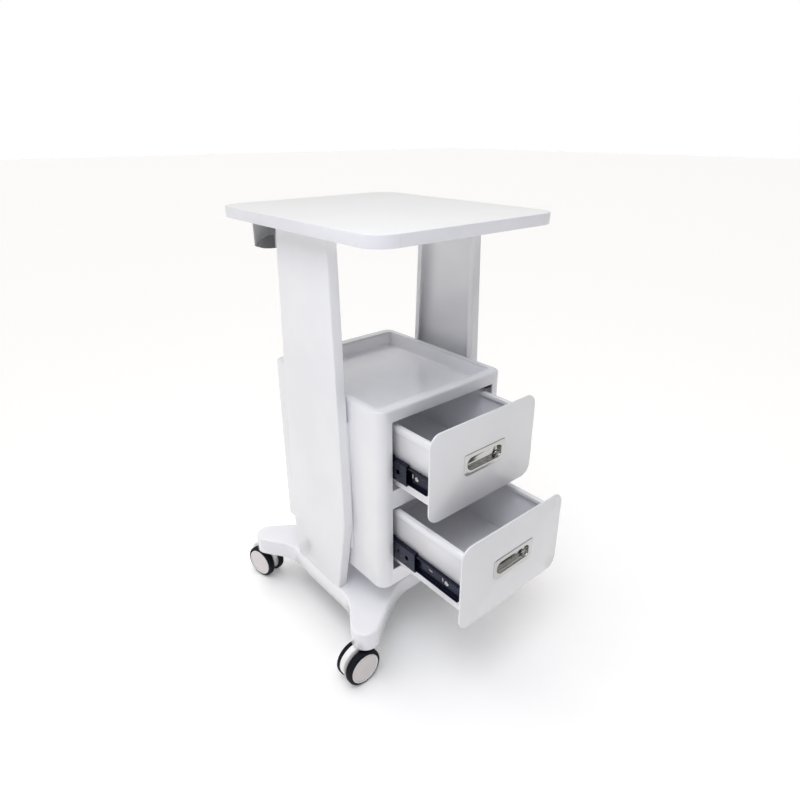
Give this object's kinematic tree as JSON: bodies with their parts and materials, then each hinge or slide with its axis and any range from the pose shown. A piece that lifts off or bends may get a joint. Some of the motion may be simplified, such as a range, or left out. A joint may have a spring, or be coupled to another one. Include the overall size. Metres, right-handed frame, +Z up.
{
  "type": "rolling salon trolley",
  "caption": "Wheeled equipment trolley: flat rounded top on two folded side uprights, hanging cabinet with tray lid and sliding drawers, X-shaped base on twin-wheel castors.",
  "frame": {"origin": "on the floor, under the middle of the whole trolley's box with the drawers drawn out as stored", "axes": "+Z up, drawers open towards -Y, +X to the right seen from the front"},
  "size_m": [0.5198, 0.6166, 0.861],
  "materials": {
    "white_powder_coat": "gloss powder coat",
    "gloss_white_abs": "moulded gloss",
    "white_laminate": "satin laminate",
    "white_edging": "extruded satin",
    "grey_abs": "fine moulded texture",
    "white_nylon": "moulded satin",
    "castor_rubber": "matt",
    "black_slide_steel": "black electrocoat",
    "chromed_zinc": "bright chrome",
    "zinc_plated_steel": "bright zinc",
    "dark_steel": "dark coat"
  },
  "bodies": {
    "frame": {"tabletop_board": "white_laminate", "tabletop_edge_band": "white_edging", "rear_handle": "grey_abs", "upright_left": "white_powder_coat", "upright_right": "white_powder_coat", "cabinet_shell": "white_powder_coat", "cabinet_tray": "gloss_white_abs", "cabinet_floor": "white_powder_coat", "slide_mount_left": "white_powder_coat", "slide_mount_right": "white_powder_coat", "cabinet_hanger_left": "white_powder_coat", "cabinet_hanger_right": "white_powder_coat", "base_cover": "gloss_white_abs", "base_plate": "dark_steel", "cabinet_bolt_left_front": "zinc_plated_steel", "cabinet_bolt_left_rear": "zinc_plated_steel", "cabinet_bolt_right_front": "zinc_plated_steel", "cabinet_bolt_right_rear": "zinc_plated_steel", "foot_bolt_left_front": "zinc_plated_steel", "foot_bolt_left_rear": "zinc_plated_steel", "foot_bolt_right_front": "zinc_plated_steel", "foot_bolt_right_rear": "zinc_plated_steel", "castor_front_left_stem": "zinc_plated_steel", "castor_rear_left_stem": "zinc_plated_steel", "castor_front_right_stem": "zinc_plated_steel", "castor_rear_right_stem": "zinc_plated_steel", "upper_slide_left_outer": "black_slide_steel", "upper_slide_right_outer": "black_slide_steel", "lower_slide_left_outer": "black_slide_steel", "lower_slide_right_outer": "black_slide_steel"},
    "upper_drawer": {"upper_drawer_box": "white_powder_coat", "upper_drawer_front": "white_powder_coat", "upper_drawer_pull": "chromed_zinc", "upper_slide_left_inner": "black_slide_steel", "upper_slide_right_inner": "black_slide_steel"},
    "upper_slide_middles": {"upper_slide_left_middle": "black_slide_steel", "upper_slide_right_middle": "black_slide_steel"},
    "lower_drawer": {"lower_drawer_box": "white_powder_coat", "lower_drawer_front": "white_powder_coat", "lower_drawer_pull": "chromed_zinc", "lower_slide_left_inner": "black_slide_steel", "lower_slide_right_inner": "black_slide_steel"},
    "lower_slide_middles": {"lower_slide_left_middle": "black_slide_steel", "lower_slide_right_middle": "black_slide_steel"},
    "castor_front_left_fork": {"castor_front_left_housing": "white_nylon", "castor_front_left_axle": "zinc_plated_steel"},
    "castor_front_left_wheel_left": {"castor_front_left_wheel_left": "castor_rubber"},
    "castor_front_left_wheel_right": {"castor_front_left_wheel_right": "castor_rubber"},
    "castor_rear_left_fork": {"castor_rear_left_housing": "white_nylon", "castor_rear_left_axle": "zinc_plated_steel"},
    "castor_rear_left_wheel_left": {"castor_rear_left_wheel_left": "castor_rubber"},
    "castor_rear_left_wheel_right": {"castor_rear_left_wheel_right": "castor_rubber"},
    "castor_front_right_fork": {"castor_front_right_housing": "white_nylon", "castor_front_right_axle": "zinc_plated_steel"},
    "castor_front_right_wheel_left": {"castor_front_right_wheel_left": "castor_rubber"},
    "castor_front_right_wheel_right": {"castor_front_right_wheel_right": "castor_rubber"},
    "castor_rear_right_fork": {"castor_rear_right_housing": "white_nylon", "castor_rear_right_axle": "zinc_plated_steel"},
    "castor_rear_right_wheel_left": {"castor_rear_right_wheel_left": "castor_rubber"},
    "castor_rear_right_wheel_right": {"castor_rear_right_wheel_right": "castor_rubber"}
  },
  "joints": [
    {"name": "upper_drawer_slide", "type": "slide", "parent": "frame", "child": "upper_drawer", "axis": [0, -1, 0], "range_m": [-0.098, 0.202]},
    {"name": "upper_middle_slide", "type": "slide", "parent": "frame", "child": "upper_slide_middles", "axis": [0, -1, 0], "range_m": [-0.049, 0.101]},
    {"name": "lower_drawer_slide", "type": "slide", "parent": "frame", "child": "lower_drawer", "axis": [0, -1, 0], "range_m": [-0.179, 0.121]},
    {"name": "lower_middle_slide", "type": "slide", "parent": "frame", "child": "lower_slide_middles", "axis": [0, -1, 0], "range_m": [-0.0895, 0.0605]},
    {"name": "castor_front_left_swivel", "type": "hinge", "parent": "frame", "child": "castor_front_left_fork", "pos_m": [-0.199, -0.1249, 0.08], "axis": [0, 0, 1], "continuous": true},
    {"name": "castor_front_left_roll_left", "type": "hinge", "parent": "castor_front_left_fork", "child": "castor_front_left_wheel_left", "pos_m": [-0.2202, -0.14015, 0.0375], "axis": [0, 1, 0], "continuous": true},
    {"name": "castor_front_left_roll_right", "type": "hinge", "parent": "castor_front_left_fork", "child": "castor_front_left_wheel_right", "pos_m": [-0.2202, -0.10965, 0.0375], "axis": [0, 1, 0], "continuous": true},
    {"name": "castor_rear_left_swivel", "type": "hinge", "parent": "frame", "child": "castor_rear_left_fork", "pos_m": [-0.199, 0.2471, 0.08], "axis": [0, 0, 1], "continuous": true},
    {"name": "castor_rear_left_roll_left", "type": "hinge", "parent": "castor_rear_left_fork", "child": "castor_rear_left_wheel_left", "pos_m": [-0.21893, 0.26398, 0.0375], "axis": [0.9703, 0.2419, 0], "continuous": true},
    {"name": "castor_rear_left_roll_right", "type": "hinge", "parent": "castor_rear_left_fork", "child": "castor_rear_left_wheel_right", "pos_m": [-0.18933, 0.27136, 0.0375], "axis": [0.9703, 0.2419, 0], "continuous": true},
    {"name": "castor_front_right_swivel", "type": "hinge", "parent": "frame", "child": "castor_front_right_fork", "pos_m": [0.199, -0.1249, 0.08], "axis": [0, 0, 1], "continuous": true},
    {"name": "castor_front_right_roll_left", "type": "hinge", "parent": "castor_front_right_fork", "child": "castor_front_right_wheel_left", "pos_m": [0.2202, -0.10965, 0.0375], "axis": [0, -1, 0], "continuous": true},
    {"name": "castor_front_right_roll_right", "type": "hinge", "parent": "castor_front_right_fork", "child": "castor_front_right_wheel_right", "pos_m": [0.2202, -0.14015, 0.0375], "axis": [0, -1, 0], "continuous": true},
    {"name": "castor_rear_right_swivel", "type": "hinge", "parent": "frame", "child": "castor_rear_right_fork", "pos_m": [0.199, 0.2471, 0.08], "axis": [0, 0, 1], "continuous": true},
    {"name": "castor_rear_right_roll_left", "type": "hinge", "parent": "castor_rear_right_fork", "child": "castor_rear_right_wheel_left", "pos_m": [0.18933, 0.27136, 0.0375], "axis": [0.9703, -0.2419, 0], "continuous": true},
    {"name": "castor_rear_right_roll_right", "type": "hinge", "parent": "castor_rear_right_fork", "child": "castor_rear_right_wheel_right", "pos_m": [0.21893, 0.26398, 0.0375], "axis": [0.9703, -0.2419, 0], "continuous": true}
  ],
  "couplings": [
    {"joint": "upper_middle_slide", "follows": "upper_drawer_slide", "ratio": 0.5},
    {"joint": "lower_middle_slide", "follows": "lower_drawer_slide", "ratio": 0.5}
  ]
}
